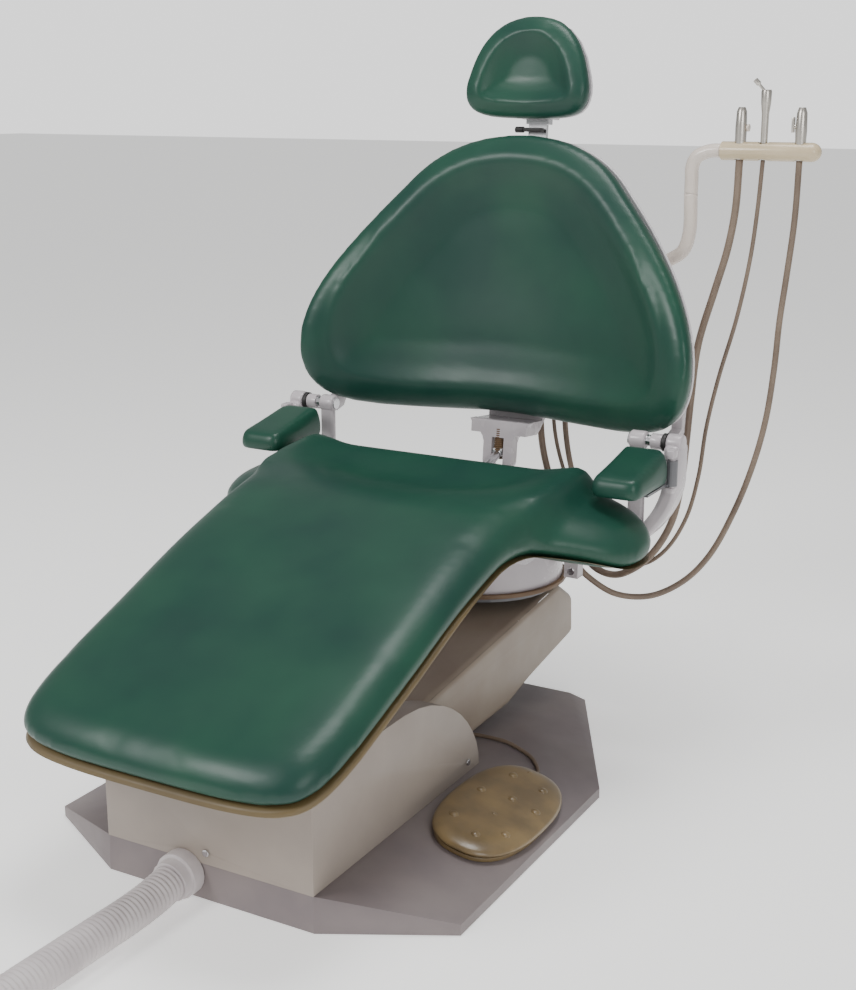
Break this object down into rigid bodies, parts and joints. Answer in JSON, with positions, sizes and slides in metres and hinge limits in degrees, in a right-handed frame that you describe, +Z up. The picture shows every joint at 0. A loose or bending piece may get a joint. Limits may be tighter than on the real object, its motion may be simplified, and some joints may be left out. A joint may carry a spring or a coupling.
{
  "type": "dental chair",
  "caption": "Reclining dental patient chair on a lift arm, with legrest seat, headrest, swing armrests, foot switch and a side holder with suction and syringe handpieces on hoses.",
  "frame": {"origin": "middle of the base on the underside of the base plate", "axes": "+Z up, +Y from the toes towards the head, +X the patient's left, where the instrument holder is"},
  "size_m": [0.842, 1.387, 1.1168],
  "materials": {
    "upholstery": "green vinyl, soft gloss",
    "cover_plastic": "warm grey moulded plastic, satin",
    "arm_plastic": "warm grey moulded plastic, satin",
    "base_plastic": "lilac-grey moulded plastic, fine texture",
    "white_enamel": "glossy white enamel",
    "white_shell": "white moulded plastic",
    "frame_steel": "painted steel",
    "bright_steel": "bright plated steel",
    "instrument_steel": "brushed stainless steel",
    "cream_enamel": "cream enamel",
    "dark_plastic": "dark plastic",
    "pedal_plastic": "olive-tan moulded plastic, glossy",
    "hose_vinyl": "taupe hose",
    "conduit_plastic": "pale corrugated hose"
  },
  "bodies": {
    "base": {"base_plate": "frame_steel", "base_trim": "base_plastic", "pump_cover": "cover_plastic", "cover_screw_front": "bright_steel", "cover_screw_left": "bright_steel", "cover_screw_right": "bright_steel", "hose_collar": "conduit_plastic", "supply_hose": "conduit_plastic", "supply_fitting": "conduit_plastic", "pump_motor": "frame_steel", "hydraulic_tank": "white_shell", "lower_pivot_shaft": "bright_steel", "foot_switch_base": "pedal_plastic", "foot_switch_cord": "hose_vinyl"},
    "foot_pedal": {"foot_switch_pedal": "pedal_plastic"},
    "lift_arm": {"lift_arm_frame": "frame_steel", "lift_arm_cover": "arm_plastic"},
    "level_link": {"level_link": "frame_steel"},
    "lift_barrel": {"lift_cylinder": "frame_steel"},
    "lift_piston": {"lift_rod": "bright_steel"},
    "upper": {"upper_casting": "frame_steel", "upper_pivot_shaft": "bright_steel"},
    "seat": {"turntable": "white_enamel", "turntable_rim": "dark_plastic", "seat_frame": "white_enamel", "seat_pad": "upholstery", "side_arm_left": "white_enamel", "side_arm_right": "white_enamel", "tilt_cylinder": "frame_steel"},
    "backrest": {"hub_pin_left": "bright_steel", "hub_pin_right": "bright_steel", "hub_ring_left": "dark_plastic", "hub_ring_right": "dark_plastic", "back_frame": "white_enamel", "back_shell": "white_shell", "back_pad": "upholstery", "holder_tube": "cream_enamel", "holder_crank": "cream_enamel", "headrest_guide": "dark_plastic", "hose_manifold": "dark_plastic", "suction_hose": "hose_vinyl", "syringe_hose": "hose_vinyl", "ejector_hose": "hose_vinyl"},
    "tilt_piston": {"tilt_rod": "bright_steel"},
    "headrest_stem": {"headrest_bar": "frame_steel"},
    "headrest": {"headrest_shell": "white_shell", "headrest_pad": "upholstery"},
    "headrest_lock": {"headrest_lever": "dark_plastic"},
    "armrest_left": {"armrest_bracket_left": "frame_steel", "armrest_pad_left": "upholstery"},
    "armrest_right": {"armrest_bracket_right": "frame_steel", "armrest_pad_right": "upholstery"},
    "holder": {"holder_bar": "cream_enamel", "suction_valve": "instrument_steel", "syringe": "instrument_steel", "ejector_valve": "instrument_steel"},
    "suction_knob": {"suction_knob": "cream_enamel"},
    "ejector_lever": {"ejector_lever": "instrument_steel"},
    "air_button": {"air_button": "dark_plastic"},
    "water_button": {"water_button": "dark_plastic"}
  },
  "joints": [
    {"name": "lift", "type": "hinge", "parent": "base", "child": "lift_arm", "pos_m": [0, -0.24, 0.118], "axis": [1, 0, 0], "range_deg": [0, 35]},
    {"name": "level_link_turn", "type": "hinge", "parent": "base", "child": "level_link", "pos_m": [0, -0.24, 0.142], "axis": [1, 0, 0], "range_deg": [0, 35]},
    {"name": "upper_level", "type": "hinge", "parent": "lift_arm", "child": "upper", "pos_m": [0, 0.4, 0.16], "axis": [1, 0, 0], "range_deg": [-35, 0]},
    {"name": "lift_cylinder_turn", "type": "hinge", "parent": "base", "child": "lift_barrel", "pos_m": [0, -0.04, 0.075], "axis": [1, 0, 0], "range_deg": [0, 52]},
    {"name": "lift_rod_slide", "type": "slide", "parent": "lift_barrel", "child": "lift_piston", "axis": [0, 0.9876, 0.1573], "range_m": [0, 0.092]},
    {"name": "seat_swivel", "type": "hinge", "parent": "upper", "child": "seat", "pos_m": [0, 0.353, 0.3], "axis": [0, 0, 1], "range_deg": [-25, 25]},
    {"name": "recline", "type": "hinge", "parent": "seat", "child": "backrest", "pos_m": [0, 0.323, 0.49], "axis": [-1, 0, 0], "range_deg": [0, 70], "deforming": ["suction_hose", "syringe_hose", "ejector_hose"]},
    {"name": "tilt_rod_slide", "type": "slide", "parent": "seat", "child": "tilt_piston", "axis": [0, 0.9508, 0.3097], "range_m": [-0.13, 0]},
    {"name": "headrest_height", "type": "slide", "parent": "backrest", "child": "headrest_stem", "axis": [0, 0.1045, 0.9945], "range_m": [0, 0.11]},
    {"name": "headrest_tilt", "type": "hinge", "parent": "headrest_stem", "child": "headrest", "pos_m": [0, 0.54151, 0.96174], "axis": [1, 0, 0], "range_deg": [-20, 15]},
    {"name": "headrest_lock_turn", "type": "hinge", "parent": "headrest_stem", "child": "headrest_lock", "pos_m": [-0.027, 0.52267, 0.93557], "axis": [1, 0, 0], "range_deg": [0, 30]},
    {"name": "armrest_left_swing", "type": "hinge", "parent": "seat", "child": "armrest_left", "pos_m": [0.345, 0.29, 0.456], "axis": [0, 0, 1], "range_deg": [0, 90]},
    {"name": "armrest_right_swing", "type": "hinge", "parent": "seat", "child": "armrest_right", "pos_m": [-0.345, 0.29, 0.456], "axis": [0, 0, -1], "range_deg": [0, 90]},
    {"name": "holder_tilt", "type": "hinge", "parent": "backrest", "child": "holder", "pos_m": [0.331, 0.485, 0.91], "axis": [1, 0, 0], "range_deg": [-15, 15]},
    {"name": "suction_knob_turn", "type": "hinge", "parent": "holder", "child": "suction_knob", "pos_m": [0.365, 0.485, 0.944], "axis": [1, 0, 0], "range_deg": [0, 90]},
    {"name": "ejector_lever_turn", "type": "hinge", "parent": "holder", "child": "ejector_lever", "pos_m": [0.443, 0.485, 0.946], "axis": [1, 0, 0], "range_deg": [0, 90]},
    {"name": "air_button_press", "type": "slide", "parent": "holder", "child": "air_button", "axis": [0, -1, 0], "range_m": [0, 0.002], "stiffness_N_per_m": 300},
    {"name": "water_button_press", "type": "slide", "parent": "holder", "child": "water_button", "axis": [0, -1, 0], "range_m": [0, 0.002], "stiffness_N_per_m": 300},
    {"name": "foot_pedal_press", "type": "slide", "parent": "base", "child": "foot_pedal", "axis": [0.2163, 0, 0.9763], "range_m": [-0.0015, 0], "stiffness_N_per_m": 8000, "springref_m": 0.0015}
  ],
  "couplings": [
    {"joint": "level_link_turn", "follows": "lift", "ratio": 1},
    {"joint": "upper_level", "follows": "lift", "ratio": -1},
    {"joint": "lift_cylinder_turn", "follows": "lift", "ratio": 1.4381},
    {"joint": "lift_rod_slide", "follows": "lift", "m_per_rad": 0.147},
    {"joint": "tilt_rod_slide", "follows": "recline", "m_per_rad": -0.1048}
  ]
}
